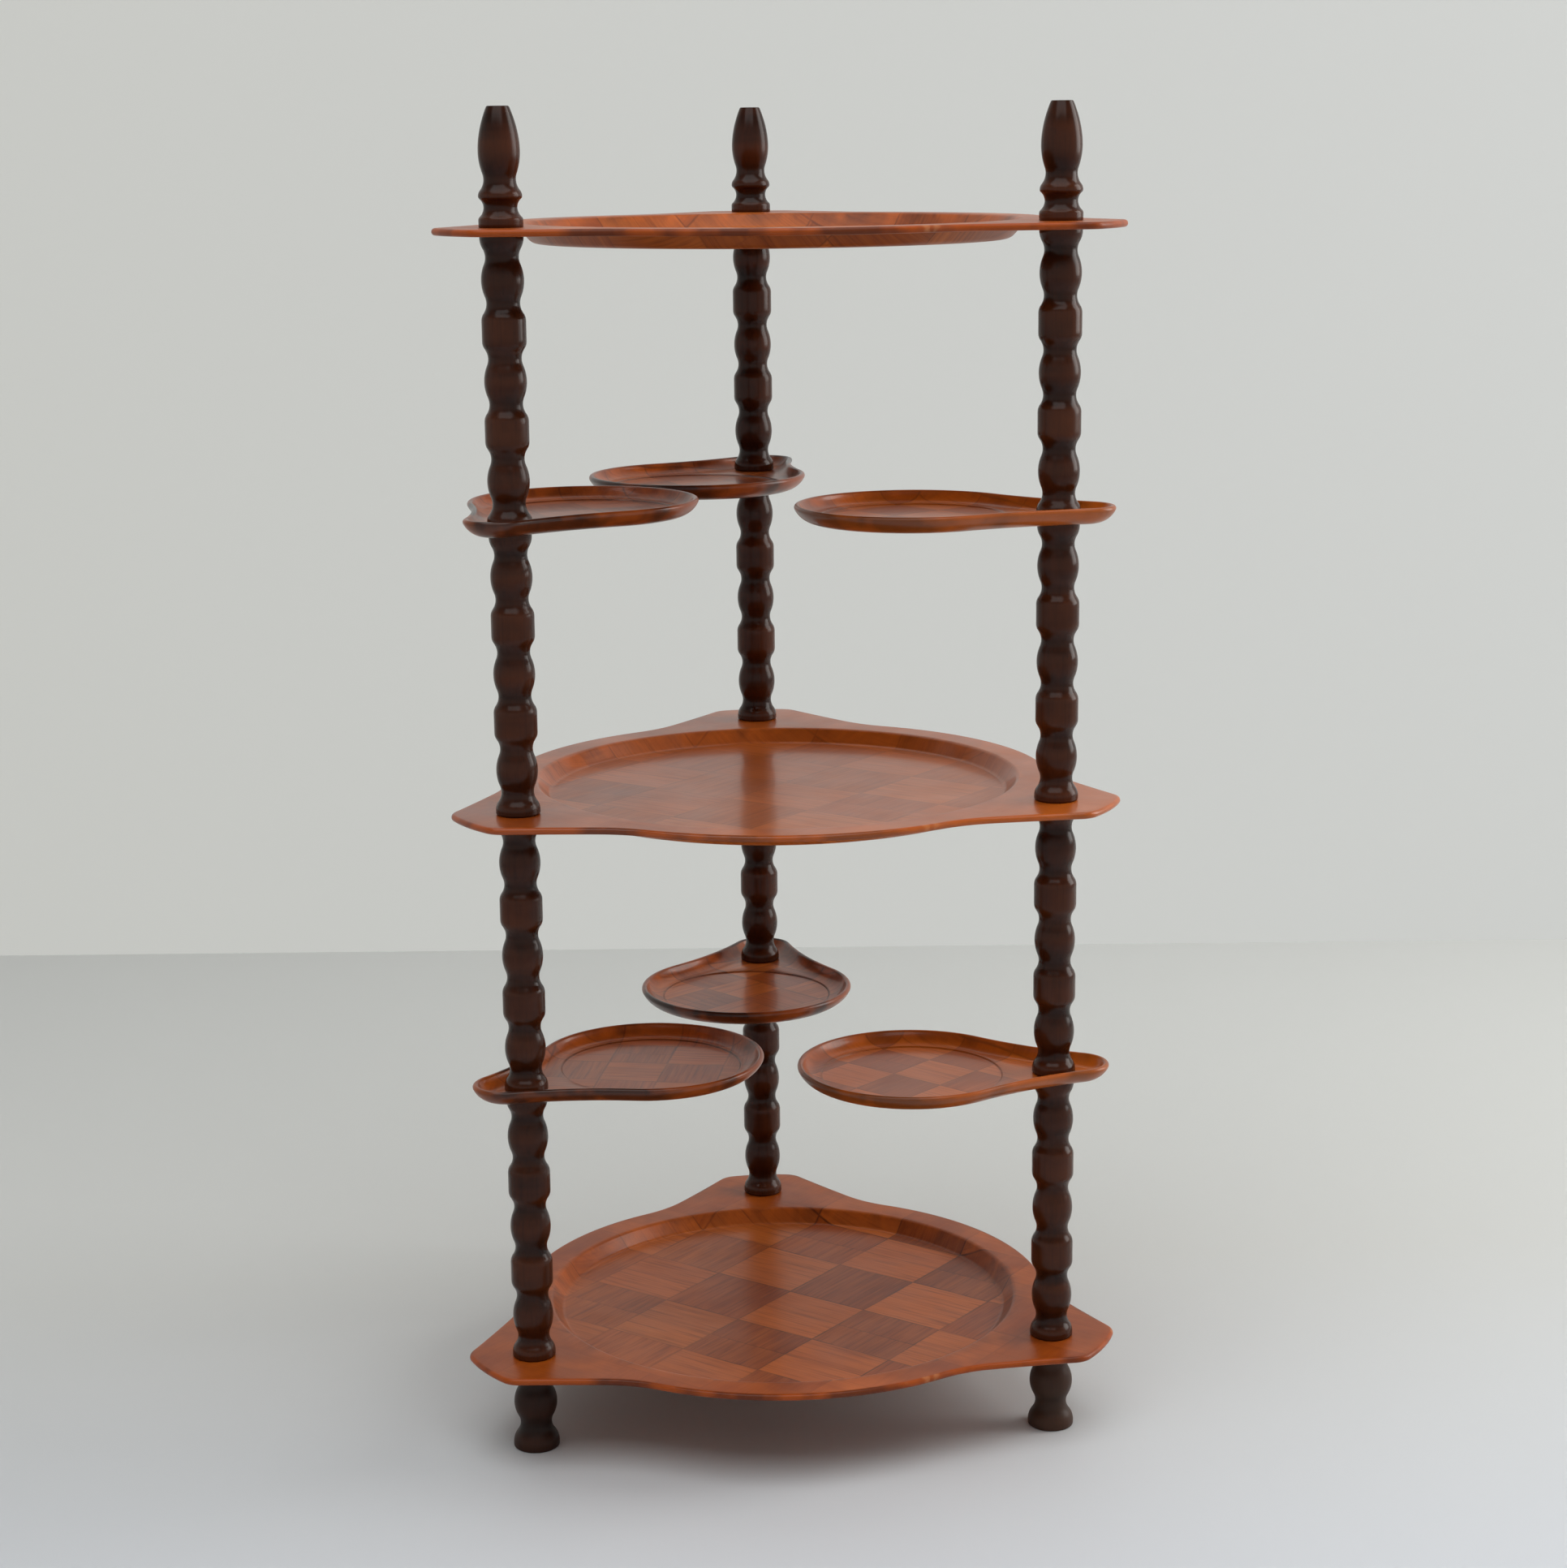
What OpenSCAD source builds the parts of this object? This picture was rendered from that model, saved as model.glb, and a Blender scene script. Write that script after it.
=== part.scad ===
// Plant stand: three bobbin-turned posts, three dished trays and six small trays that swivel round the posts.
// Millimetres, +Z up, the middle of the stand's outline at X = Y = 0 and its feet on Z = 0.

/* [Stand] */
// Distance between the centres of two posts
post_spacing = 400; // [370:5:450]

/* [Turned posts] */
// Diameter of the necks between the beads
neck_d = 24; // [21:0.5:26]
// Diameter of the short beads
short_bead_d = 30.6; // [29:0.2:34]
// Diameter of the long beads
long_bead_d = 31.8; // [30:0.2:35]
// Distance between the necks on each side of a short bead
short_bead_pitch = 32.3; // [28:0.2:38]
// Distance between the necks on each side of a long bead
long_bead_pitch = 39.1; // [34:0.2:46]
// Length of the straight barrel on a long bead
barrel_l = 15; // [6:1:18]
// Pairs of a short and a long bead on each spindle, below its last short bead
bead_pair_count = 2; // [1:1:3]
// Diameter of a post piece where it stands on a tray
lower_end_d = 32.8; // [31:0.2:36]
// Diameter of a post piece where a tray rests on it
upper_end_d = 31.4; // [30:0.2:35]
// Height of a spindle's lowest neck above its end
lower_flare_h = 16.8; // [14:0.2:22]
// Depth of the highest neck below the upper end
upper_flare_h = 15.6; // [14:0.2:22]
// Radius of the hollow turned at a neck
neck_hollow_r = 12; // [6:0.5:16]
// Radius that rounds the lower ends
end_round_r = 1.6; // [0.8:0.2:2.4]

/* [Feet] */
// Diameter of the foot just above the floor
foot_d = 35.2; // [33:0.2:40]
// Diameter of the foot's single bead
foot_bead_d = 33; // [31:0.2:36]
// Height of the foot's neck above the floor
foot_neck_z = 19.6; // [15:0.2:26]
// Distance between the two necks of the foot
foot_bead_pitch = 33.6; // [28:0.2:40]

/* [Finials] */
// Diameter of the straight collar that stands on the top tray
collar_d = 31.8; // [29:0.2:34]
// Height of the straight side of the collar
collar_h = 5.2; // [3:0.2:8]
// Height of the neck above the collar
collar_neck_z = 14; // [12:0.2:17]
// Diameter of the ring above that neck
ring_d = 31.2; // [29:0.2:34]
// Height of the ring
ring_z = 21.8; // [20:0.2:24]
// Height of the bud's neck
bud_neck_z = 33.4; // [30:0.2:37]
// Diameter of the bud's neck
bud_neck_d = 23; // [20:0.2:25]
// Largest diameter of the bud
bud_d = 29.8; // [27:0.2:34]
// Height of the bud's widest place
bud_z = 54.5; // [50:0.5:60]
// Diameter of the flat on top of the bud
bud_top_d = 15.8; // [12:0.2:20]
// Height of a finial
finial_h = 84; // [78:0.5:100]

/* [Fixed trays] */
// Thickness of a fixed tray's flange
flange_t = 5.2; // [4.4:0.2:8]
// Thickness of the dish under the flange
dish_t = 4.2; // [3.4:0.2:5]
// Depth of the dish below the top of the flange
dish_depth = 11; // [8:0.5:14]
// Width over which the wall of the dish slopes down
dish_slope_w = 14; // [12:0.5:18]
// Radius that rounds the wall into the floor and into the flange
dish_round_r = 5; // [3:0.5:5.5]
// Distance from a post's centre to the mouth of the dish
mouth_inset = 42; // [30:1:50]
// Width of the flange round the dish, between the posts
flange_w = 23; // [16:1:30]
// Reach of an ear beyond the centre of its post
ear_reach = 44; // [34:1:50]
// Width of an ear across its end
ear_end_w = 78; // [64:1:86]
// Radius of the slightly curved end of an ear
ear_end_r = 140; // [100:10:400]
// Radius of the two corners of an ear
ear_corner_r = 18; // [10:1:24]
// Angle between the middle line of an ear and its side, where the side leaves the corner
ear_side_angle = 34; // [30:0.5:38]
// Radius of that slightly hollow side
ear_side_r = 1500; // [800:100:3000]
// Radius of the hollow curve from an ear's side into the round edge
ear_hollow_r = 100; // [60:5:120]

/* [Swivel trays] */
// Radius of a swivel tray's round end, over its rim
disc_r = 87; // [70:1:100]
// Space left between two neighbouring swivel trays turned towards each other
swivel_gap = 10; // [4:1:40]
// Reach of the narrow end beyond the centre of its post, over the rim
tip_reach = 42; // [40:0.5:50]
// Radius of the narrow end, over the rim
tip_r = 25; // [23:0.5:32]
// Radius of the hollow sides between the two ends
side_hollow_r = 260; // [200:10:400]
// Thickness of the floor
swivel_floor_t = 4.6; // [4:0.2:6]
// Height of the rim above the floor
rim_h = 8.5; // [6:0.5:12]
// Width over which the rim curves up from the floor
rim_w = 16; // [13:0.5:18]
// Width of the flat border between the rim and the sunk round floor
sunk_border = 1.6; // [1:0.2:8]
// Depth of the sunk round floor
sunk_depth = 1; // [0.4:0.1:1.6]
// Free play above and below a swivel tray's floor
swivel_play = 0.1; // [0.05:0.05:0.3]
// Direction of the lower left tray as it stands in use
lower_left_angle = 28; // [0:1:359]
// Direction of the lower right tray
lower_right_angle = 175; // [0:1:359]
// Direction of the lower back tray
lower_back_angle = 260; // [0:1:359]
// Direction of the upper left tray
upper_left_angle = 60; // [0:1:359]
// Direction of the upper right tray
upper_right_angle = 166; // [0:1:359]
// Direction of the upper back tray
upper_back_angle = 241; // [0:1:359]

/* [Joining studs] */
// Diameter of the steel studs that screw the post pieces together through the trays
stud_d = 8; // [6:0.5:10]
// Depth to which a stud enters each post piece
stud_hold = 18; // [12:1:24]
// Depth left empty behind the end of a stud
bore_spare = 1; // [0.5:0.5:3]
// Radial clearance of a stud in its bore and in a fixed tray
stud_clearance = 0.05; // [0.02:0.01:0.09]
// Radial clearance of a swivel tray on its stud
swivel_clearance = 0.08; // [0.03:0.01:0.1]

/* [Hidden] */
POSTS = ["left", "right", "back"];

walnut = "#3d2317";
teak = "#a4562b";
steel = "silver";

// Smoothness of the true circles, and steps along each computed arc
$fn = 96;
arc_steps = 6;
// Overlap that lets a cut break cleanly through a face
cut = 1;
// Height of the prisms that cut a ring into stretches, about the middle of its section
sector_h = 100;

// Plan of the stand: the posts stand on a circle round its centre
post_r = post_spacing / sqrt(3);
post_angles = [210, 330, 90];
lower_angles = [lower_left_angle, lower_right_angle, lower_back_angle];
upper_angles = [upper_left_angle, upper_right_angle, upper_back_angle];
ear_tip_r = post_r + ear_reach;
mouth_r = post_r - mouth_inset;
tray_r = mouth_r + flange_w;

// Lengths of the turned pieces
foot_h = foot_neck_z + foot_bead_pitch + upper_flare_h;
spindle_l = lower_flare_h + bead_pair_count * (short_bead_pitch + long_bead_pitch) + short_bead_pitch + upper_flare_h;
swivel_seat_h = swivel_floor_t + 2 * swivel_play;
bore_d = stud_d + 2 * stud_clearance;
bore_depth = stud_hold + bore_spare;
swivel_bore_d = stud_d + 2 * swivel_clearance;

// Heights of the pieces that are stacked on each post
function fixed_top_z(k) = foot_h + (k + 1) * flange_t + k * (2 * spindle_l + swivel_seat_h);
function swivel_floor_z(k) = fixed_top_z(k) + spindle_l + swivel_play;
function spindle_z(level) = level % 2 == 1
    ? fixed_top_z((level - 1) / 2)
    : fixed_top_z((level - 2) / 2) + spindle_l + swivel_seat_h;
// The five joints of a post: a fixed tray, a swivel tray, and so on up to the top tray
function joint_bottom_z(joint) = joint % 2 == 1
    ? fixed_top_z((joint - 1) / 2) - flange_t
    : spindle_z(joint - 1) + spindle_l;
function joint_top_z(joint) = joint % 2 == 1 ? fixed_top_z((joint - 1) / 2) : spindle_z(joint);

function arc(centre, r, from, to, steps = arc_steps) =
    [for (i = [0:steps]) let (a = from + (to - from) * i / steps) centre + r * [cos(a), sin(a)]];

// Half section between a neck and the widest place of a bead: two arcs that meet smoothly.
// Points are [radius, height], from the neck at z0 to the crest at z1.
function swell(neck_r, z0, crest_r, z1) =
    let (
        depth = crest_r - neck_r,
        rise = abs(z1 - z0),
        way = sign(z1 - z0),
        both_r = (depth * depth + rise * rise) / (2 * depth),
        hollow_r = min(neck_hollow_r, 0.75 * both_r),
        crest_arc_r = both_r - hollow_r,
        turn = asin(rise / both_r)
    )
    concat(
        [for (i = [0:arc_steps]) let (a = turn * i / arc_steps)
            [neck_r + hollow_r * (1 - cos(a)), z0 + way * hollow_r * sin(a)]],
        [for (i = [1:arc_steps]) let (a = turn * (1 - i / arc_steps))
            [crest_r - crest_arc_r * (1 - cos(a)), z1 - way * crest_arc_r * sin(a)]]
    );
// Points of an arc that keep half a step away from its two ends
function within(centre, r, from, to, steps = arc_steps) =
    [for (i = [0.5:steps - 0.5]) let (a = from + (to - from) * i / steps) centre + r * [cos(a), sin(a)]];
function reversed(points) = [for (i = [len(points) - 1:-1:0]) points[i]];

// One bead between two necks, without the point on its lower neck
function bead(neck_r, z0, z1, crest_r, barrel) =
    let (
        up = swell(neck_r, z0, crest_r, (z0 + z1 - barrel) / 2),
        down = reversed(swell(neck_r, z1, crest_r, (z0 + z1 + barrel) / 2))
    )
    concat([for (i = [1:len(up) - 1]) up[i]], [for (i = [barrel > 0 ? 0 : 1:len(down) - 1]) down[i]]);

// Rounded lower end that narrows to the first neck
function lower_end(end_r, neck_z) = concat(
    [[0, 0]],
    arc([end_r - end_round_r, end_round_r], end_round_r, -90, 0),
    reversed(swell(neck_d / 2, neck_z, end_r, 2.2 * end_round_r))
);
// Upper flare from the last neck, without the point on that neck
function upper_end(neck_z, end_z) =
    let (flare = swell(neck_d / 2, neck_z, upper_end_d / 2, end_z - end_round_r))
    concat([for (i = [1:len(flare) - 1]) flare[i]], [[upper_end_d / 2, end_z], [0, end_z]]);

// Height of neck i on a spindle, counted from 0 at the lowest
function neck_z(i) = lower_flare_h + ceil(i / 2) * short_bead_pitch + floor(i / 2) * long_bead_pitch;
bead_count = 2 * bead_pair_count + 1;
spindle_section = concat(
    lower_end(lower_end_d / 2, neck_z(0)),
    [for (i = [0:bead_count - 1]) each bead(neck_d / 2, neck_z(i), neck_z(i + 1),
        (i % 2 == 0 ? short_bead_d : long_bead_d) / 2, i % 2 == 0 ? 0 : barrel_l)],
    upper_end(neck_z(bead_count), spindle_l)
);
foot_section = concat(
    lower_end(foot_d / 2, foot_neck_z),
    bead(neck_d / 2, foot_neck_z, foot_neck_z + foot_bead_pitch, foot_bead_d / 2, 0),
    upper_end(foot_neck_z + foot_bead_pitch, foot_h)
);
finial_section = let (
    collar = reversed(swell(neck_d / 2, collar_neck_z, collar_d / 2, collar_h)),
    ring_up = swell(neck_d / 2, collar_neck_z, ring_d / 2, ring_z),
    ring_down = reversed(swell(bud_neck_d / 2, bud_neck_z, ring_d / 2, ring_z)),
    bud_up = swell(bud_neck_d / 2, bud_neck_z, bud_d / 2, bud_z),
    bud_down = reversed(swell(bud_top_d / 2, finial_h, bud_d / 2, bud_z))
) concat(
    [[0, 0], [collar_d / 2, 0]],
    collar,
    [for (i = [1:len(ring_up) - 1]) ring_up[i]],
    [for (i = [1:len(ring_down) - 1]) ring_down[i]],
    [for (i = [1:len(bud_up) - 1]) bud_up[i]],
    [for (i = [1:len(bud_down) - 1]) bud_down[i]],
    [[0, finial_h]]
);

// Section of a dish's wall and floor, [radius, height] with the top of the flange at height 0
slope_reach = sqrt(pow(dish_slope_w, 2) + pow(2 * dish_round_r - dish_depth, 2));
slope_angle = asin(2 * dish_round_r / slope_reach) - atan2(2 * dish_round_r - dish_depth, dish_slope_w);
floor_r = mouth_r - dish_slope_w;
// Width of the band that carries the flange's rounded edge, and how far the dish and the plate overlap it
edge_w = flange_t;
lap = flange_t;
dish_section = let (
    low = [floor_r, dish_round_r - dish_depth],
    high = [mouth_r, -dish_round_r],
    under = low + (dish_round_r + dish_t) * [sin(slope_angle), -cos(slope_angle)]
) concat(
    [[0, -dish_depth - dish_t]],
    arc(low, dish_round_r + dish_t, -90, slope_angle - 90),
    [
        [under[0] + (-flange_t - under[1]) / tan(slope_angle), -flange_t],
        [mouth_r + lap, -flange_t],
        [mouth_r + lap, 0]
    ],
    arc(high, dish_round_r, 90, 90 + slope_angle),
    arc(low, dish_round_r, slope_angle - 90, -90),
    [[0, -dish_depth]]
);

// Centre that lies rp from p and rq from q, to the left of the way from p to q
function meet(p, rp, q, rq) =
    let (
        way = q - p,
        d = norm(way),
        along = (d * d + rp * rp - rq * rq) / (2 * d),
        aside = sqrt(rp * rp - along * along)
    )
    p + (along * way + aside * [-way[1], way[0]]) / d;
function bearing(from, to) = atan2(to[1] - from[1], to[0] - from[0]);
function turned(points, a) = [for (q = points) [q[0] * cos(a) - q[1] * sin(a), q[0] * sin(a) + q[1] * cos(a)]];
function flipped(points) = reversed([for (q = points) [q[0], -q[1]]]);

// Half outline of an ear along +X, all arcs that meet smoothly: end, corner, side, hollow curve, round edge
ear_end = [ear_tip_r - ear_end_r, 0];
corner_y = ear_end_w / 2 - ear_corner_r;
corner = ear_end + [sqrt(pow(ear_end_r - ear_corner_r, 2) - corner_y * corner_y), corner_y];
ear_side = corner + (ear_corner_r + ear_side_r) * [sin(ear_side_angle), cos(ear_side_angle)];
hollow = meet(ear_side, ear_side_r - ear_hollow_r, [0, 0], tray_r + ear_hollow_r);
function ear_points(inset) = concat(
    within(ear_end, ear_end_r - inset, 0, bearing(ear_end, corner)),
    within(corner, ear_corner_r - inset, bearing(ear_end, corner), 90 - ear_side_angle),
    within(ear_side, ear_side_r + inset, 270 - ear_side_angle, bearing(ear_side, hollow) + 360),
    within(hollow, ear_hollow_r + inset, bearing(ear_side, hollow) + 360, bearing([0, 0], hollow) + 180),
    within([0, 0], tray_r - inset, bearing([0, 0], hollow), 60, 2 * arc_steps)
);
function tray_points(inset) = [for (a = post_angles)
    each turned(concat(flipped(ear_points(inset)), ear_points(inset)), a)];

// Outline of a swivel tray, the post at the origin and the round end towards +X
disc_x = (post_spacing - swivel_gap) / 2 - disc_r;
tip_x = tip_r - tip_reach;
function reach_y(turn) = max(disc_x * sin(turn) + disc_r, tip_x * sin(turn) + tip_r);
// The round front edge and what reaches furthest back lie equally far from Y = 0
back_reach = max(ear_tip_r, post_r + reach_y(lower_back_angle), post_r + reach_y(upper_back_angle));
centre_y = (tray_r - back_reach) / 2;
disc_centre = [disc_x, 0];
tip_centre = [tip_x, 0];
side_centre = meet(tip_centre, tip_r + side_hollow_r, disc_centre, disc_r + side_hollow_r);
function side_points(inset) = concat(
    within(disc_centre, disc_r - inset, 0, bearing(disc_centre, side_centre), 4 * arc_steps),
    within(side_centre, side_hollow_r + inset, bearing(disc_centre, side_centre) + 180,
        bearing(tip_centre, side_centre) + 180, 2 * arc_steps),
    within(tip_centre, tip_r - inset, bearing(tip_centre, side_centre), 180)
);
function swivel_points(inset) = concat(side_points(inset), flipped(side_points(inset)));

// The edge of a tray is turned in stretches from one section, whose X goes inwards from the outline.
// A place is reached in three finer and finer steps, so that neighbouring stretches meet exactly.
module exactly_at(place) {
    whole = [floor(place[0]), floor(place[1])];
    part = [floor((place[0] - whole[0]) * 10000), floor((place[1] - whole[1]) * 10000)] / 10000;
    translate(whole)
        translate(part)
            translate(place - whole - part)
                children();
}
module round_edge(centre, r) {
    exactly_at(centre)
        rotate_extrude()
            translate([r, 0])
                mirror([1, 0])
                    children();
}
module hollow_edge(centre, r) {
    exactly_at(centre)
        rotate_extrude()
            translate([r, 0])
                children();
}
// Upright prism that cuts one stretch out of a ring; neighbours share two of its corners
module sector(points) {
    translate([0, 0, -sector_h / 2])
        linear_extrude(sector_h)
            polygon(points);
}

// Rounded edge of a fixed tray's flange, under height 0
module flange_edge_section() {
    polygon(concat(
        arc([flange_t / 2, -flange_t / 2], flange_t / 2, 90, 270, 2 * arc_steps),
        [[edge_w, -flange_t], [edge_w, 0]]
    ));
}
function on_ear(q, side, a) = turned([[q[0], side * q[1]]], a)[0];
module fixed_tray_edge() {
    difference() {
        rotate([0, 0, 270])
            round_edge([0, 0], tray_r)
                flange_edge_section();
        for (a = post_angles)
            sector(turned([[0, 0], [hollow[0], -hollow[1]], hollow], a));
    }
    // Points beyond the outline, on the lines where two stretches meet
    end_out = corner + 2 * ear_corner_r * (corner - ear_end) / norm(corner - ear_end);
    side_out = hollow + 2 * ear_hollow_r * (hollow - ear_side) / norm(hollow - ear_side);
    for (a = post_angles) {
        intersection() {
            round_edge(on_ear(ear_end, 1, a), ear_end_r)
                flange_edge_section();
            sector(turned(concat(flipped([corner, end_out]), [corner, end_out]), a));
        }
        for (side = [-1, 1]) {
            intersection() {
                round_edge(on_ear(corner, side, a), ear_corner_r)
                    flange_edge_section();
                sector([for (q = [corner, end_out, ear_side]) on_ear(q, side, a)]);
            }
            intersection() {
                hollow_edge(on_ear(ear_side, side, a), ear_side_r)
                    flange_edge_section();
                sector([for (q = [ear_side, corner, corner / 2, side_out, hollow]) on_ear(q, side, a)]);
            }
            intersection() {
                hollow_edge(on_ear(hollow, side, a), ear_hollow_r)
                    flange_edge_section();
                sector([for (q = [hollow, side_out, [0, 0]]) on_ear(q, side, a)]);
            }
        }
    }
}
module fixed_tray() {
    color(teak)
        difference() {
            union() {
                fixed_tray_edge();
                translate([0, 0, -flange_t])
                    linear_extrude(flange_t)
                        difference() {
                            polygon(tray_points(edge_w * 2 / 3));
                            circle(mouth_r + lap / 2);
                        }
                rotate_extrude()
                    polygon(dish_section);
            }
            for (a = post_angles)
                rotate([0, 0, a])
                    translate([post_r, 0, -flange_t - cut])
                        cylinder(d = bore_d, h = flange_t + 2 * cut);
        }
}

// Upturned rim of a swivel tray: floor and rim are one bent board of the same thickness
rim_way = rim_w - swivel_floor_t / 2;
rim_mid_r = (rim_way * rim_way + rim_h * rim_h) / (2 * rim_h);
rim_turn = asin(rim_way / rim_mid_r);
// Flat strip of floor that is made along with the rim
strip_w = 4;
sunk_r = disc_r - rim_w - sunk_border;
module swivel_rim_section() {
    bend = [rim_w, swivel_floor_t / 2 + rim_mid_r];
    lip = bend - rim_mid_r * [sin(rim_turn), cos(rim_turn)];
    polygon(concat(
        arc(bend, rim_mid_r + swivel_floor_t / 2, -90, -90 - rim_turn, 2 * arc_steps),
        arc(lip, swivel_floor_t / 2, 270 - rim_turn, 90 - rim_turn),
        arc(bend, rim_mid_r - swivel_floor_t / 2, -90 - rim_turn, -90, 2 * arc_steps),
        [[rim_w + strip_w, swivel_floor_t], [rim_w + strip_w, 0]]
    ));
}
module swivel_tray() {
    other_side = [side_centre[0], -side_centre[1]];
    color(teak)
        difference() {
            union() {
                difference() {
                    round_edge(disc_centre, disc_r)
                        swivel_rim_section();
                    sector([disc_centre, side_centre, other_side]);
                }
                intersection() {
                    round_edge(tip_centre, tip_r)
                        swivel_rim_section();
                    sector([tip_centre, side_centre, other_side]);
                }
                for (side = [0, 1])
                    mirror([0, side, 0])
                        intersection() {
                            hollow_edge(side_centre, side_hollow_r)
                                swivel_rim_section();
                            sector([side_centre, tip_centre, disc_centre]);
                        }
                linear_extrude(swivel_floor_t)
                    polygon(swivel_points(rim_w + strip_w / 2));
            }
            translate([0, 0, -cut])
                cylinder(d = swivel_bore_d, h = swivel_floor_t + 2 * cut);
            translate([disc_x, 0, swivel_floor_t - sunk_depth])
                cylinder(r1 = sunk_r - sunk_depth, r2 = sunk_r + sunk_border / 2, h = sunk_depth + sunk_border / 2);
        }
}

module stud_bore() {
    cylinder(d = bore_d, h = bore_depth + cut);
}
module foot() {
    color(walnut)
        difference() {
            rotate_extrude()
                polygon(foot_section);
            translate([0, 0, foot_h - bore_depth])
                stud_bore();
        }
}
module spindle() {
    color(walnut)
        difference() {
            rotate_extrude()
                polygon(spindle_section);
            translate([0, 0, -cut])
                stud_bore();
            translate([0, 0, spindle_l - bore_depth])
                stud_bore();
        }
}
module finial() {
    color(walnut)
        difference() {
            rotate_extrude()
                polygon(finial_section);
            translate([0, 0, -cut])
                stud_bore();
        }
}
stud_chamfer = 1;
module stud(joint) {
    length = joint_top_z(joint) - joint_bottom_z(joint) + 2 * stud_hold;
    color(steel)
        rotate_extrude()
            polygon([
                [0, 0],
                [stud_d / 2 - stud_chamfer, 0],
                [stud_d / 2, stud_chamfer],
                [stud_d / 2, length - stud_chamfer],
                [stud_d / 2 - stud_chamfer, length],
                [0, length]
            ]);
}

module at_post(i, z) {
    translate([post_r * cos(post_angles[i]), centre_y + post_r * sin(post_angles[i]), z])
        children();
}
module at_centre(z) {
    translate([0, centre_y, z])
        children();
}

for (i = [0:2]) {
    at_post(i, 0) foot();
    for (level = [1:4])
        at_post(i, spindle_z(level)) spindle();
    at_post(i, fixed_top_z(2)) finial();
    for (joint = [1:5])
        at_post(i, joint_bottom_z(joint) - stud_hold) stud(joint);
}
at_centre(fixed_top_z(0)) fixed_tray();  // bottom_tray
at_centre(fixed_top_z(1)) fixed_tray();  // middle_tray
at_centre(fixed_top_z(2)) fixed_tray();  // top_tray
for (i = [0:2]) {
    at_post(i, swivel_floor_z(0)) rotate([0, 0, lower_angles[i]]) swivel_tray();
    at_post(i, swivel_floor_z(1)) rotate([0, 0, upper_angles[i]]) swivel_tray();
}
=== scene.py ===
"""Looks of the plant stand: turned posts in dark stained wood, trays veneered with squares.

Sizes are in millimetres, the way the stand is drawn; a mesh is scaled to metres when it is made,
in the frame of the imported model. Materials and the stage are in metres.
"""

from math import asin, atan2, cos, degrees, hypot, pi, radians, sin, sqrt, tan

import bmesh
import bpy
from mathutils import Matrix, Vector


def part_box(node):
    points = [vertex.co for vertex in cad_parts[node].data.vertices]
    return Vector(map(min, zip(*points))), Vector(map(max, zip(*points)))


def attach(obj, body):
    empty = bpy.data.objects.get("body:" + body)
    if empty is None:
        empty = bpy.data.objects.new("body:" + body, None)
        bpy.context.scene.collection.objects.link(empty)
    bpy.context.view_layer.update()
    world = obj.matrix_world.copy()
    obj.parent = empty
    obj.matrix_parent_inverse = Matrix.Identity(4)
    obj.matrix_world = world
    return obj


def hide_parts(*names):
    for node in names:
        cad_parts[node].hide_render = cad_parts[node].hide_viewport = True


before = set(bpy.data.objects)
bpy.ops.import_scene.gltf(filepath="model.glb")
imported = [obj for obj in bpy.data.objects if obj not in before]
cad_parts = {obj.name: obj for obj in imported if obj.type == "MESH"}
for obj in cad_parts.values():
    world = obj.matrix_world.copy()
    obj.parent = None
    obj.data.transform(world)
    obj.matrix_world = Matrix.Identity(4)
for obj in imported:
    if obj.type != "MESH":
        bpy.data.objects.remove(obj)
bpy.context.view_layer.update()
MM = 0.001
# an edge between two faces is sharp from this angle on
SHARP_ANGLE = radians(40)

# ---------------------------------------------------------------- places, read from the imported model
SIDES = ("left", "right", "back")


def middle(node):
    """Middle of a node's box, seen from above, in millimetres"""
    low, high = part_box(node)
    return (low.x + high.x) / 2 / MM, (low.y + high.y) / 2 / MM


def bottom(node):
    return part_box(node)[0].z / MM


def top(node):
    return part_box(node)[1].z / MM


POSTS = {side: middle(side + "_foot") for side in SIDES}
CENTRE = tuple(sum(POSTS[side][axis] for side in SIDES) / 3 for axis in (0, 1))
POST_R = hypot(POSTS["back"][0] - CENTRE[0], POSTS["back"][1] - CENTRE[1])
POST_SPACING = POST_R * sqrt(3)

# ---------------------------------------------------------------- sizes of the pieces
NECK_D, NECK_HOLLOW_R, END_ROUND_R = 24, 12, 1.6
SPINDLE = {
    "Beads": 5, "Lower neck": 16.8, "Short pitch": 32.3, "Long pitch": 39.1, "Upper flare": 15.6,
    "Barrel": 15.0, "Neck radius": NECK_D / 2, "Short bead radius": 15.3, "Long bead radius": 15.9,
    "Lower end radius": 16.4, "Upper end radius": 15.7, "Neck hollow": NECK_HOLLOW_R,
    "End rounding": END_ROUND_R,
}
FOOT = {
    **SPINDLE, "Beads": 1, "Lower neck": 19.6, "Short pitch": 33.6, "Short bead radius": 16.5,
    "Lower end radius": 17.6,
}
# share of a bead's arcs that the hollow one takes at most, and height of the lower end's widest place, in
# roundings of its edge
HOLLOW_SHARE, WIDEST_AT = 0.75, 2.2
# steps round a turning, rings along it for each mm, and how much closer together those lie near its ends
ROUND_STEPS, RINGS_PER_MM, CROWDING = 56, 0.9, 0.85
TRAY_R, MOUTH_R = POST_R - 19, POST_R - 42
FLANGE_T, DISH_T, DISH_DEPTH, DISH_SLOPE_W, DISH_ROUND_R = 5.2, 4.2, 11, 14, 5
EAR_REACH, EAR_END_W, EAR_END_R, EAR_CORNER_R = 44, 78, 140, 18
EAR_SIDE_ANGLE, EAR_SIDE_R, EAR_HOLLOW_R = 34, 1500, 100
DISC_R, TIP_REACH, TIP_R, SIDE_HOLLOW_R = 87, 42, 25, 260
SWIVEL_GAP = 10
DISC_X, TIP_X = (POST_SPACING - SWIVEL_GAP) / 2 - DISC_R, TIP_R - TIP_REACH
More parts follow.
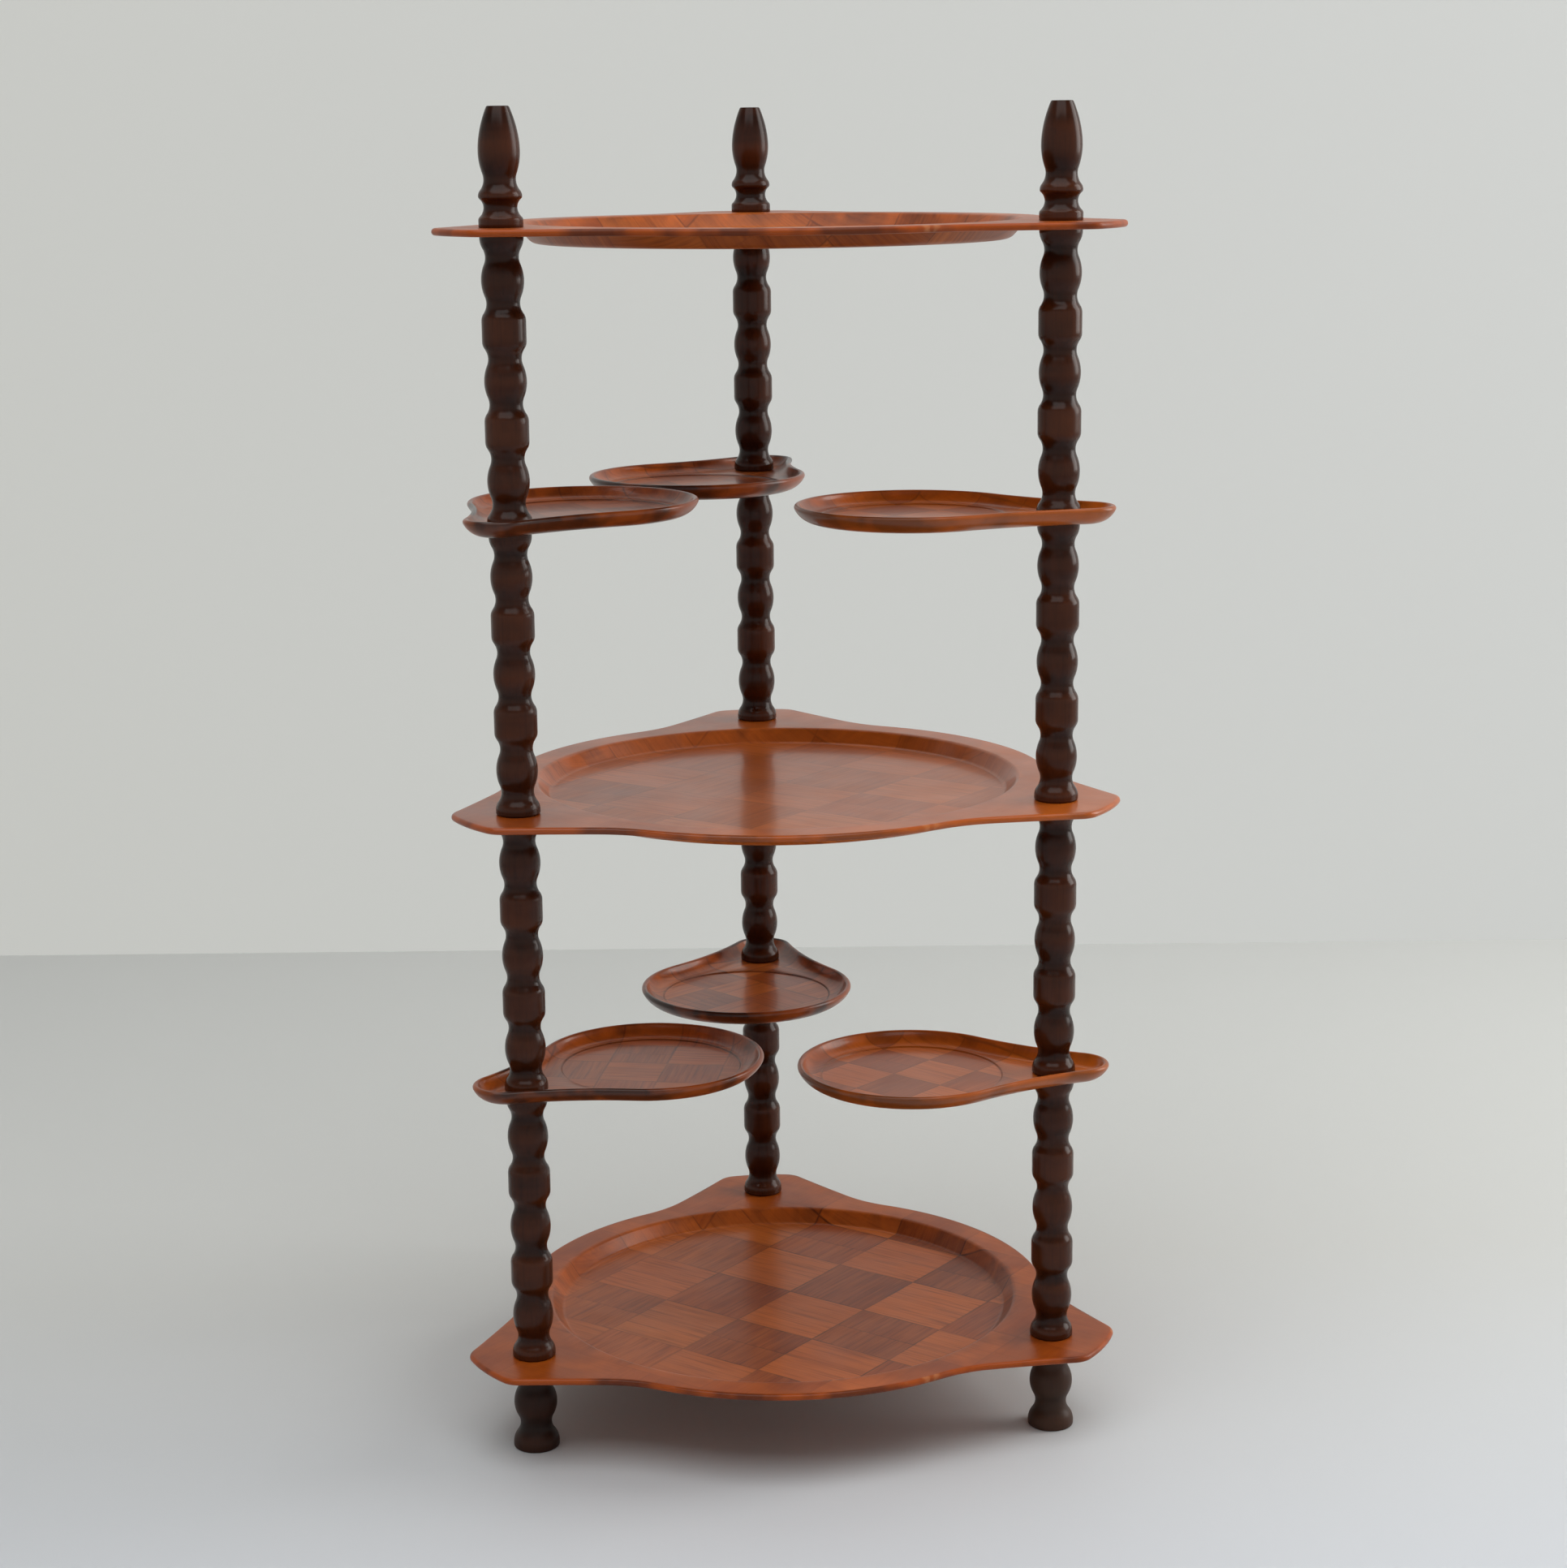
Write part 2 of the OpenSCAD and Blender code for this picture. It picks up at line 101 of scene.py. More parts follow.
FLOOR_T, RIM_H, RIM_W, SUNK_BORDER, SUNK_DEPTH = 4.6, 8.5, 16, 1.6, 1
# bearing of each swivel tray, in degrees
TURNS = {
    "lower": {"left": 28, "right": 175, "back": 260},
    "upper": {"left": 60, "right": 166, "back": 241},
}


# ---------------------------------------------------------------- small helpers
def linear(r, g, b):
    """A colour as seen on a screen, 0 to 255, for a shader"""
    parts = (c / 255 for c in (r, g, b))
    return tuple(((c + 0.055) / 1.055) ** 2.4 if c > 10 / 255 else c / 12.92 for c in parts) + (1.0,)


def evenly(start, end, steps):
    return [start + (end - start) * i / steps for i in range(steps + 1)]


def arc(centre, r, start, end, steps):
    """Points of an arc from one bearing to another, in degrees"""
    return [(centre[0] + r * cos(radians(start + (end - start) * i / steps)),
             centre[1] + r * sin(radians(start + (end - start) * i / steps))) for i in range(steps + 1)]


def bearing(start, end):
    return degrees(atan2(end[1] - start[1], end[0] - start[0]))


def meet(p, rp, q, rq):
    """Centre that lies rp from p and rq from q, to the left of the way from p to q"""
    wx, wy = q[0] - p[0], q[1] - p[1]
    d = hypot(wx, wy)
    along = (d * d + rp * rp - rq * rq) / (2 * d)
    aside = sqrt(rp * rp - along * along)
    return p[0] + (along * wx - aside * wy) / d, p[1] + (along * wy + aside * wx) / d


def flipped(points):
    return [(x, -y) for x, y in reversed(points)]


def turned(points, angle):
    c, s = cos(radians(angle)), sin(radians(angle))
    return [(x * c - y * s, x * s + y * c) for x, y in points]


def finished_piece(name, mesh, material, body, slot, *nodes):
    """Puts a mesh in the scene as the piece that stands for these nodes"""
    mesh.name = name
    mesh.materials.clear()
    mesh.materials.append(material)
    mesh.shade_smooth()
    mesh.set_sharp_from_angle(angle=SHARP_ANGLE)
    piece = bpy.data.objects.new(name, mesh)
    bpy.context.scene.collection.objects.link(piece)
    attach(piece, body)
    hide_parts(*nodes)


def mesh_of_loops(name, loops, place=(0, 0, 0), turn=0.0, marks=None):
    """Closed shell from level loops of equal length, each a list of (x, y, z)

    The first and the last loop end in a pole. Marks give each loop a value that materials read.
    """
    mesh = bpy.data.meshes.new(name)
    count = len(loops[0])
    vertices, faces = [], []
    for loop in loops:
        vertices += loop
    for k in range(len(loops) - 1):
        for i in range(count):
            j = (i + 1) % count
            faces.append((k * count + i, k * count + j, (k + 1) * count + j, (k + 1) * count + i))
    for k, way in ((0, -1), (len(loops) - 1, 1)):
        loop = loops[k]
        pole = len(vertices)
        vertices.append(tuple(sum(p[a] for p in loop) / count for a in (0, 1, 2)))
        for i in range(count):
            j = (i + 1) % count
            faces.append((k * count + i, k * count + j, pole)[::way])
    mesh.from_pydata(vertices, [], faces)
    if marks:
        for mark, values in marks.items():
            layer = mesh.attributes.new(mark, "FLOAT", "POINT")
            spread = [v for v in values for _ in range(count)] + [values[0], values[-1]]
            layer.data.foreach_set("value", spread)
    mesh.transform(Matrix.Scale(MM, 4) @ Matrix.Translation(place) @ Matrix.Rotation(radians(turn), 4, "Z"))
    shell = bmesh.new()
    shell.from_mesh(mesh)
    bmesh.ops.recalc_face_normals(shell, faces=shell.faces)
    shell.to_mesh(mesh)
    shell.free()
    return mesh


# ---------------------------------------------------------------- turned post pieces, by Geometry Nodes
class Rule:
    """Writes a formula as Math nodes of a tree"""

    def __init__(self, tree):
        self.tree = tree

    def __call__(self, operation, *values):
        step = self.tree.nodes.new("ShaderNodeMath")
        step.operation = operation
        for place, value in zip(step.inputs, values):
            if isinstance(value, bpy.types.NodeSocket):
                self.tree.links.new(value, place)
            else:
                place.default_value = value
        return step.outputs[0]

    def choose(self, condition, yes, no):
        unless = self("SUBTRACT", 1, condition)
        return self("ADD", self("MULTIPLY", condition, yes), self("MULTIPLY", unless, no))

    def arc_height(self, r, way):
        """Height of an arc of radius r over its chord, this far from its middle"""
        return self("SQRT", self("MAXIMUM", self("SUBTRACT", self("POWER", r, 2), self("POWER", way, 2)), 0))


def bobbin_tree():
    """A turned piece: a lower end, beads of two lengths in turn between narrow necks, and an upper flare"""
    tree = bpy.data.node_groups.new("bobbin turning", "GeometryNodeTree")
    tree.interface.new_socket(name="Geometry", in_out="OUTPUT", socket_type="NodeSocketGeometry")
    for name, value in SPINDLE.items():
        kind = "NodeSocketInt" if name == "Beads" else "NodeSocketFloat"
        tree.interface.new_socket(name=name, in_out="INPUT", socket_type=kind).default_value = value
    tree.interface.new_socket(name="Place", in_out="INPUT", socket_type="NodeSocketVector")
    tree.interface.new_socket(name="Turn", in_out="INPUT", socket_type="NodeSocketFloat")
    tree.interface.new_socket(name="Material", in_out="INPUT", socket_type="NodeSocketMaterial")
    new, link, rule = tree.nodes.new, tree.links.new, Rule(tree)
    size = new("NodeGroupInput").outputs
    short, long_, neck = size["Short pitch"], size["Long pitch"], size["Neck radius"]
    pair = rule("ADD", short, long_)
    # span of the beads and length of the piece
    beads = size["Beads"]
    shorts = rule("CEIL", rule("DIVIDE", beads, 2))
    longs = rule("FLOOR", rule("DIVIDE", beads, 2))
    span = rule("ADD", rule("MULTIPLY", shorts, short), rule("MULTIPLY", longs, long_))
    length = rule("ADD", rule("ADD", size["Lower neck"], span), size["Upper flare"])
    # a plain barrel, its rings closer together near the two ends
    barrel = new("GeometryNodeMeshCylinder")
    barrel.inputs["Vertices"].default_value = ROUND_STEPS
    link(rule("MULTIPLY", rule("CEIL", length), RINGS_PER_MM), barrel.inputs["Side Segments"])
    barrel.inputs["Radius"].default_value = 1
    barrel.inputs["Depth"].default_value = 1
    apart = new("ShaderNodeSeparateXYZ")
    link(new("GeometryNodeInputPosition").outputs[0], apart.inputs[0])
    share = rule("ADD", apart.outputs["Z"], 0.5)
    crowd = rule("MULTIPLY", rule("SINE", rule("MULTIPLY", share, 2 * pi)), CROWDING / (2 * pi))
    share = rule("SUBTRACT", share, crowd)
    z = rule("MULTIPLY", share, length)
    # which part of the piece the height lies in
    u = rule("SUBTRACT", z, size["Lower neck"])
    w = rule("FLOORED_MODULO", u, pair)
    in_long = rule("GREATER_THAN", w, short)
    v = rule("SUBTRACT", w, rule("MULTIPLY", in_long, short))
    pitch = rule.choose(in_long, long_, short)
    bead_way = rule("MINIMUM", v, rule("SUBTRACT", pitch, v))
    flat_crest = rule("MULTIPLY", in_long, size["Barrel"])
    bead_rise = rule("MULTIPLY", rule("SUBTRACT", pitch, flat_crest), 0.5)
    bead_crest = rule.choose(in_long, size["Long bead radius"], size["Short bead radius"])
    low = rule("LESS_THAN", u, 0)
    high = rule("GREATER_THAN", u, span)
    low_rise = rule("SUBTRACT", size["Lower neck"], rule("MULTIPLY", size["End rounding"], WIDEST_AT))
    high_rise = rule("SUBTRACT", size["Upper flare"], size["End rounding"])
    way = rule.choose(low, rule("MULTIPLY", u, -1), rule.choose(high, rule("SUBTRACT", u, span), bead_way))
    rise = rule.choose(low, low_rise, rule.choose(high, high_rise, bead_rise))
    crest = rule.choose(high, size["Upper end radius"], bead_crest)
    crest = rule.choose(low, size["Lower end radius"], crest)
    # hollow arc at the neck and round arc at the crest, which meet smoothly
    depth = rule("SUBTRACT", crest, neck)
    squares = rule("ADD", rule("POWER", depth, 2), rule("POWER", rise, 2))
    both = rule("DIVIDE", squares, rule("MULTIPLY", depth, 2))
    hollow = rule("MINIMUM", size["Neck hollow"], rule("MULTIPLY", both, HOLLOW_SHARE))
    round_ = rule("SUBTRACT", both, hollow)
    change = rule("DIVIDE", rule("MULTIPLY", hollow, rise), both)
    in_hollow = rule("LESS_THAN", way, change)
    dip = rule.arc_height(hollow, way)
    swell = rule.arc_height(round_, rule("MAXIMUM", rule("SUBTRACT", rise, way), 0))
    radius = rule.choose(in_hollow, rule("SUBTRACT", rule("ADD", neck, hollow), dip),
                         rule("ADD", rule("SUBTRACT", crest, round_), swell))
    # rounded lower edge
    rounding = size["End rounding"]
    lack = rule("MAXIMUM", rule("SUBTRACT", rounding, z), 0)
    radius = rule("SUBTRACT", radius, rule("SUBTRACT", rounding, rule.arc_height(rounding, lack)))
    placed = new("ShaderNodeCombineXYZ")
    link(rule("MULTIPLY", apart.outputs["X"], radius), placed.inputs["X"])
    link(rule("MULTIPLY", apart.outputs["Y"], radius), placed.inputs["Y"])
    link(z, placed.inputs["Z"])
    shaped = new("GeometryNodeSetPosition")
    link(barrel.outputs["Mesh"], shaped.inputs["Geometry"])
    link(placed.outputs[0], shaped.inputs["Position"])
    # millimetres to metres, and on to its place on the post
    spin = new("ShaderNodeCombineXYZ")
    link(size["Turn"], spin.inputs["Z"])
    moved = new("GeometryNodeTransform")
    link(shaped.outputs[0], moved.inputs["Geometry"])
    link(size["Place"], moved.inputs["Translation"])
    link(spin.outputs[0], moved.inputs["Rotation"])
    moved.inputs["Scale"].default_value = (MM, MM, MM)
    dressed = new("GeometryNodeSetMaterial")
    link(moved.outputs[0], dressed.inputs["Geometry"])
    link(size["Material"], dressed.inputs["Material"])
    link(dressed.outputs[0], new("NodeGroupOutput").inputs[0])
    return tree


def bobbin_mesh(tree, values):
    """The tree's result for one piece, as a plain mesh"""
    blank = bpy.data.objects.new("blank", bpy.data.meshes.new("blank"))
    bpy.context.scene.collection.objects.link(blank)
    lathe = blank.modifiers.new("turning", "NODES")
    lathe.node_group = tree
    for item in tree.interface.items_tree:
        if item.in_out == "INPUT" and item.name in values:
            lathe[item.identifier] = values[item.name]
    view = bpy.context.evaluated_depsgraph_get()
    mesh = bpy.data.meshes.new_from_object(blank.evaluated_get(view))
    blank.modifiers.clear()
    bpy.data.objects.remove(blank)
    return mesh


def swell_points(neck_r, z0, crest_r, z1, steps=8):
    """Half section between a neck and the widest place beside it, as (radius, height)

    A hollow arc leaves the neck upright, and a round one meets it and ends upright at the widest place.
    """
    depth, rise, way = crest_r - neck_r, abs(z1 - z0), 1 if z1 > z0 else -1
    both = (depth * depth + rise * rise) / (2 * depth)
    hollow = min(NECK_HOLLOW_R, HOLLOW_SHARE * both)
    full = degrees(asin(rise / both))
    crest = both - hollow
    angles = [radians(full * i / steps) for i in range(steps + 1)]
    lower = [(neck_r + hollow - hollow * cos(a), z0 + way * hollow * sin(a)) for a in angles]
    upper = [(crest_r - crest + crest * cos(a), z1 - way * crest * sin(a)) for a in angles[-2::-1]]
    return lower + upper


def finial_points(height):
    """Section of a finial: collar, ring and bud"""
    def way_down(*sizes):
        return swell_points(*sizes)[::-1]

    neck_r, collar_r, ring_r, bud_neck_r, bud_r, top_r, top_round = NECK_D / 2, 15.9, 15.6, 11.5, 14.9, 7.9, 0.6
    collar_z, neck_z, ring_z, bud_neck_z, bud_z = 5.2, 14, 21.8, 33.4, 53
    collar = [(neck_r, 0), (collar_r - 0.3, 0), (collar_r, 0.4), (collar_r, 2.5), (collar_r, 4.2)]
    collar += way_down(neck_r, neck_z, collar_r, collar_z)
    ring = swell_points(neck_r, neck_z, ring_r, ring_z)[1:]
    ring += way_down(bud_neck_r, bud_neck_z, ring_r, ring_z)[1:]
    # the bud draws in to its flat top in one bow
    bow = [(bud_r - (bud_r - top_r) * t ** 1.9, bud_z + (height - bud_z) * t) for t in evenly(0.08, 0.98, 12)]
    bud = swell_points(bud_neck_r, bud_neck_z, bud_r, bud_z)[1:] + bow
    edge = arc((top_r - top_round, height - top_round), top_round, 0, 90, 3)
    return collar + ring + bud + edge + [(5, height - 0.1), (2, height - 0.15)]


def lathed_mesh(name, section, place):
    circle = [(cos(2 * pi * i / ROUND_STEPS), sin(2 * pi * i / ROUND_STEPS)) for i in range(ROUND_STEPS)]
    loops = [[(r * x, r * y, z) for x, y in circle] for r, z in section]
    return mesh_of_loops(name, loops, place)


# ---------------------------------------------------------------- trays
def ear_points(inset):
    """Half outline of an ear along +X: end, corner, side, hollow curve, round edge"""
    tip_r = POST_R + EAR_REACH
    end = (tip_r - EAR_END_R, 0)
    corner_y = EAR_END_W / 2 - EAR_CORNER_R
    corner = (end[0] + sqrt((EAR_END_R - EAR_CORNER_R) ** 2 - corner_y ** 2), corner_y)
    reach = EAR_CORNER_R + EAR_SIDE_R
    side = (corner[0] + reach * sin(radians(EAR_SIDE_ANGLE)), corner[1] + reach * cos(radians(EAR_SIDE_ANGLE)))
    hollow = meet(side, EAR_SIDE_R - EAR_HOLLOW_R, (0, 0), TRAY_R + EAR_HOLLOW_R)
    to_hollow = bearing(side, hollow) % 360
    return (arc(end, EAR_END_R - inset, 0, bearing(end, corner), 8)
            + arc(corner, EAR_CORNER_R - inset, bearing(end, corner), 90 - EAR_SIDE_ANGLE, 12)[1:]
            + arc(side, EAR_SIDE_R + inset, 270 - EAR_SIDE_ANGLE, to_hollow, 12)[1:]
            + arc(hollow, EAR_HOLLOW_R + inset, to_hollow, bearing((0, 0), hollow) + 180, 14)[1:]
            + arc((0, 0), TRAY_R - inset, bearing((0, 0), hollow), 60, 16)[1:])


def tray_outline(inset):
    half = ear_points(inset)
    whole = flipped(half)[:-1] + half
    return [p for angle in (210, 330, 90) for p in turned(whole[:-1], angle)]


def between(a, b, share):
    return [tuple(u + (v - u) * share for u, v in zip(p, q)) for p, q in zip(a, b)]


def level(points, z):
    return [(x, y, z) for x, y in points]


class Shell:
    """Level loops of a tray's board in order, from the middle of its floor over the edge to its underside

    Rings run round (x, 0) at the bearings of the outline's points. Each loop also has a value for every mark.
    """

    def __init__(self, x, outline, *marks):
        self.x, self.angles = x, [atan2(py, px - x) for px, py in outline]
        self.loops, self.marks = [], {mark: [] for mark in marks}

    def ring(self, r, height):
        return [(self.x + r * cos(a), r * sin(a), height) for a in self.angles]

    def add(self, loop, **on):
        self.loops.append(loop)
        for mark, values in self.marks.items():
            values.append(on.get(mark, 0.0))

    def mesh(self, name, place, turn=0.0):
        return mesh_of_loops(name, self.loops, place, turn, self.marks)


def fixed_tray_mesh(name, z):
    shell = Shell(0, tray_outline(0), "edge", "wall", "flange")
    ring, add = shell.ring, shell.add
    round_r, half = DISH_ROUND_R, FLANGE_T / 2
    reach = sqrt(DISH_SLOPE_W ** 2 + (2 * round_r - DISH_DEPTH) ** 2)
    slope = degrees(asin(2 * round_r / reach) - atan2(2 * round_r - DISH_DEPTH, DISH_SLOPE_W))
    low, high = (MOUTH_R - DISH_SLOPE_W, round_r - DISH_DEPTH), (MOUTH_R, -round_r)
    # floor of the dish, its wall and the rounding into the flange
    for r in (12, 40, 80, 120, 150, 168):
        add(ring(r, -DISH_DEPTH))
    for r, h in arc(low, round_r, -90, slope - 90, 8):
        add(ring(r, h), wall=min(1, (h + DISH_DEPTH) / 4))
    for r, h in arc(high, round_r, 90 + slope, 90, 8):
        add(ring(r, h), wall=1 if h < -1 else 0.6, flange=0 if h < -1 else 0.4)
    # flange, rolled edge, and back under the flange
    edge_top, edge_under = (level(tray_outline(half), h) for h in (0, -FLANGE_T))
    for share in (0.15, 0.4, 0.7, 0.93, 1):
        add(between(ring(MOUTH_R, 0), edge_top, share), edge=0.35 if share == 1 else 0, flange=1)
    for inset, h in arc((half, -half), half, 105, 255, 10):
        add(level(tray_outline(inset), h), edge=1, flange=1)
    # the underside of the sloping wall meets the flange's at under_r
    under_arc = round_r + DISH_T
    under_x, under_z = low[0] + under_arc * sin(radians(slope)), low[1] - under_arc * cos(radians(slope))
    under_r = under_x + (-FLANGE_T - under_z) / tan(radians(slope))
    for share in (0, 0.1, 0.5, 0.85, 1):
        add(between(edge_under, ring(under_r + 0.6, -FLANGE_T), share), edge=0.3 if share == 0 else 0)
    for r, h in arc(low, under_arc, slope - 90, -90, 8):
        add(ring(r, h))
    for r in (160, 120, 80, 40, 12):
        add(ring(r, -DISH_DEPTH - DISH_T))
    return shell.mesh(name, (*CENTRE, z))


def swivel_outline(inset):
    disc, tip = (DISC_X, 0), (TIP_X, 0)
    side = meet(tip, TIP_R + SIDE_HOLLOW_R, disc, DISC_R + SIDE_HOLLOW_R)
    half = (arc(disc, DISC_R - inset, 0, bearing(disc, side), 48)
            + arc(side, SIDE_HOLLOW_R + inset, bearing(disc, side) + 180, bearing(tip, side) + 180, 20)[1:]
            + arc(tip, TIP_R - inset, bearing(tip, side), 180, 22)[1:])
    return half + flipped(half)[1:-1]


def swivel_tray_mesh(name, post, z, turn):
    way = RIM_W - FLOOR_T / 2
    mid_r = (way * way + RIM_H * RIM_H) / (2 * RIM_H)
    full = degrees(asin(way / mid_r))
    bend = (RIM_W, FLOOR_T / 2 + mid_r)
    lip = (bend[0] - mid_r * sin(radians(full)), bend[1] - mid_r * cos(radians(full)))
    inner = swivel_outline(RIM_W)
    shell = Shell(DISC_X, inner, "edge", "wall", "groove")
    ring, add = shell.ring, shell.add
    # sunk floor, its fine step and the flat round it
    sunk_r = DISC_R - RIM_W - SUNK_BORDER
    for r in (8, 30, 50, sunk_r - 3, sunk_r - 1.6):
        add(ring(r, FLOOR_T - SUNK_DEPTH))
    # the step's own loops, marked for the painted shade laid along it
    add(ring(sunk_r - 1.0, FLOOR_T - SUNK_DEPTH + 0.05), groove=1)
    add(ring(sunk_r - 0.2, FLOOR_T - 0.15), groove=1)
    add(ring(sunk_r + 0.1, FLOOR_T), groove=0.6)
    for share in (0.4, 0.8):
        add(between(ring(sunk_r + 0.2, FLOOR_T), level(inner, FLOOR_T), share))
    # up the rim, round its lip and down outside
    for inset, h in arc(bend, mid_r - FLOOR_T / 2, -90, -90 - full, 12):
        add(level(swivel_outline(inset), h), wall=min(1, (h - FLOOR_T) / 3))
    for inset, h in arc(lip, FLOOR_T / 2, 90 - full, 270 - full, 10)[1:-1]:
        add(level(swivel_outline(inset), h), edge=1, wall=1)
    for inset, h in arc(bend, mid_r + FLOOR_T / 2, -90 - full, -90, 12):
        add(level(swivel_outline(inset), h), edge=0.85, wall=1)
    # underside
    for share in (0.3, 0.9):
        add(between(level(inner, 0), ring(sunk_r, 0), share))
    for r in (50, 30, 8):
        add(ring(r, 0))
    return shell.mesh(name, (*post, z), turn)


# ---------------------------------------------------------------- materials
# veneer of the squares, its grain and the joints between squares
SQUARE_LIGHT, SQUARE_DARK, SQUARE_RED = linear(186, 99, 38), linear(122, 55, 20), linear(168, 74, 25)
PORE, SILK, JOINT = linear(92, 38, 14), linear(206, 120, 56), linear(52, 22, 9)
# thick lacquer on flanges and walls, light and dark in patches
FLANGE_LACQUER = linear(188, 90, 14), linear(150, 64, 10)
WALL_LACQUER = linear(190, 90, 18), linear(86, 35, 10)
# stains of flange and wall, then painted shade for the fine step round a swivel tray's sunk floor
FLANGE_STAIN, WALL_STAIN, STEP_SHADE = linear(108, 46, 12), linear(66, 28, 10), linear(46, 20, 9)
# edges: rolled on the large trays, the lip of the rim on the swivel trays
ROLLED_EDGE, RUBBED_EDGE = (linear(88, 34, 9), linear(168, 74, 14)), linear(206, 150, 100)
# then the colour of painted light from the window, which makes a tray's right side lighter and more golden
SWIVEL_EDGE, PAINTED_LIGHT_COLOUR = (linear(146, 68, 22), linear(42, 18, 10)), linear(224, 116, 30)
# turned pieces
POST_STAIN = linear(60, 26, 10), linear(36, 16, 7)
LATHE_RING, RUBBED_CREST = linear(82, 39, 16), linear(84, 42, 20)
# painted shade for the necks, and the darkest pores
NECK_SHADE, POST_PORE = linear(26, 12, 7), linear(24, 11, 6)
DRAWN_STEEL = linear(150, 150, 154), linear(196, 196, 198)
# stage
FLOOR, FLOOR_IN_FRONT, WALL = linear(209, 211, 209), linear(216, 221, 228), linear(214, 215, 212)
BACKDROP_GLOW = linear(208, 209, 204), linear(211, 213, 211)
# in metres: where the floor takes on its front colour, where it fades to pale, and how far apart, left and
# right, the wall's two glows stand; then the glow's share in how the wall looks
FRONT_FADE, FAR_FADE, GLOW_ENDS, GLOW_SHARE = (0.2, -0.55), (1.9, 4.6), (-1.0, 1.2), 0.7
# roughness, from the glossiest places to the dullest, the clear coat's, and what the worst wear adds
TRAY_ROUGH, POST_ROUGH, STEEL_ROUGH, COAT_ROUGH, WEAR_ROUGH = (0.29, 0.38), (0.17, 0.26), (0.25, 0.42), 0.12, 0.4
TRAY_SPECULAR, POST_SPECULAR = 0.24, 0.2
# half width of a joint between squares at its darkest and at its end, and of a middle joint, in metres, and
# how far the joints wander; share of the squares that have no middle joint
JOINT_W, MIDDLE_JOINT_W, WANDER, WHOLE_SQUARES = (0.0003, 0.001), (0.0003, 0.0009), 0.004, 0.45
# distances from a post's axis, in metres: the painted shade in a neck grows from the first to the second, and so
# does the rubbing of a crest
NECK_DARK, CREST_RUBBED = (0.0134, 0.0120), (0.0138, 0.0158)


class Finish:
    """A material and short ways to add its nodes"""

    def __init__(self, name="", tree=None):
        if tree is None:
            self.material = bpy.data.materials.new(name)
            self.material.use_nodes = True
            tree = self.material.node_tree
            tree.nodes.clear()
        self.tree = tree

    def node(self, kind, settings=None, **inputs):
        made = self.tree.nodes.new(kind)
        for key, value in (settings or {}).items():
            setattr(made, key, value)
        for key, value in inputs.items():
            socket = made.inputs[int(key[1:])] if key[0] == "_" else made.inputs[key.replace("_", " ")]
            self.put(value, socket)
        return made

    def put(self, value, socket):
        if isinstance(value, bpy.types.NodeSocket):
            self.tree.links.new(value, socket)
        else:
            socket.default_value = value

    def sum(self, operation, *values, clamp=False):
        return self.node("ShaderNodeMath", {"operation": operation, "use_clamp": clamp},
                         **{f"_{i}": v for i, v in enumerate(values)}).outputs[0]

    def vector(self, operation, *values):
        return self.node("ShaderNodeVectorMath", {"operation": operation},
                         **{f"_{i}": v for i, v in enumerate(values)}).outputs[0]

    def length(self, vector):
        return self.node("ShaderNodeVectorMath", {"operation": "LENGTH"}, _0=vector).outputs["Value"]

    def noise(self, where, scale, detail=2.0, roughness=0.5, distortion=0.0):
        return self.node("ShaderNodeTexNoise", Vector=where, Scale=scale, Detail=detail, Roughness=roughness,
                         Distortion=distortion).outputs["Fac"]

    def spread(self, value, low, high, to_low=0.0, to_high=1.0):
        """The part of a value between low and high, stretched to run from to_low to to_high"""
        return self.node("ShaderNodeMapRange", {"clamp": True}, Value=value, From_Min=low, From_Max=high,
                         To_Min=to_low, To_Max=to_high).outputs["Result"]

    def mix(self, factor, a, b):
        """Two colours, a where the factor is 0 and b where it is 1"""
        made = self.node("ShaderNodeMix", {"data_type": "RGBA"}, Factor=factor)
        self.put(a, made.inputs[6])
        self.put(b, made.inputs[7])
        return made.outputs[2]

    def shade(self, **inputs):
        shader = self.node("ShaderNodeBsdfPrincipled", **inputs)
        self.output = self.node("ShaderNodeOutputMaterial")
        self.show(shader.outputs[0])
        return shader

    def blend(self, factor, a, b):
        """Two shaders, a where the factor is 0 and b where it is 1"""
        return self.node("ShaderNodeMixShader", _0=factor, _1=a, _2=b).outputs[0]

    def show(self, shader):
        self.put(shader, self.output.inputs[0])


